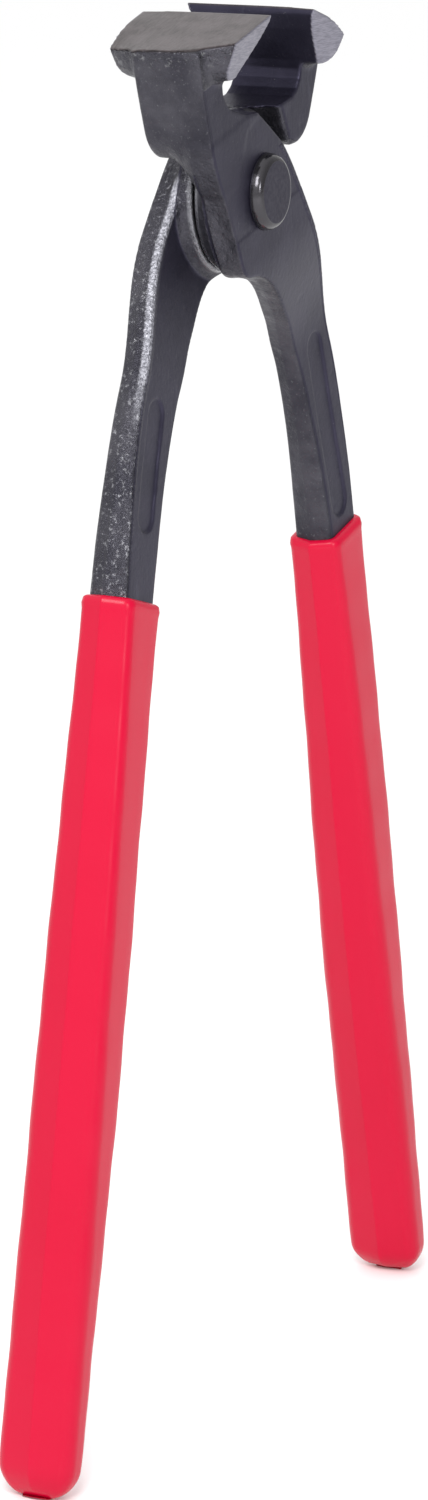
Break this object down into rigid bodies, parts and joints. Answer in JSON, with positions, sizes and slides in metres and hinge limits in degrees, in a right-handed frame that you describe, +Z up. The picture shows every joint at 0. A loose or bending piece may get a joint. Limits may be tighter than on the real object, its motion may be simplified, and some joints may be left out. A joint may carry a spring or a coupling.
{
  "type": "tower pincers",
  "caption": "Long-handled end-cutting pincers: two forged levers crossed in a riveted lap joint, wide jaws on top and dipped PVC sleeves on both handles.",
  "frame": {"origin": "centre of the footprint on the ground plane, with the tool standing upright on its two handle ends", "axes": "+Z up from the handle ends to the cutting edges, X the way the tool opens, Y the rivet's axis with the set head on -Y"},
  "size_m": [0.1636, 0.0266, 0.2661],
  "materials": {
    "lever_steel": "dark oiled drop-forged steel with machined flats, a rough forged outer side and bright ground jaws",
    "rivet_steel": "satin dark steel with a bright turned chamfer",
    "grip_pvc": "glossy red dipped PVC with a soft rolled lip"
  },
  "bodies": {
    "front_half": {"front_lever": "lever_steel", "right_grip": "grip_pvc", "rivet": "rivet_steel"},
    "rear_half": {"rear_lever": "lever_steel", "left_grip": "grip_pvc"}
  },
  "joints": [
    {"name": "jaw_pivot", "type": "hinge", "parent": "front_half", "child": "rear_half", "pos_m": [0, 0, 0.23242], "axis": [0, 1, 0], "range_deg": [-31.2, 20]}
  ]
}
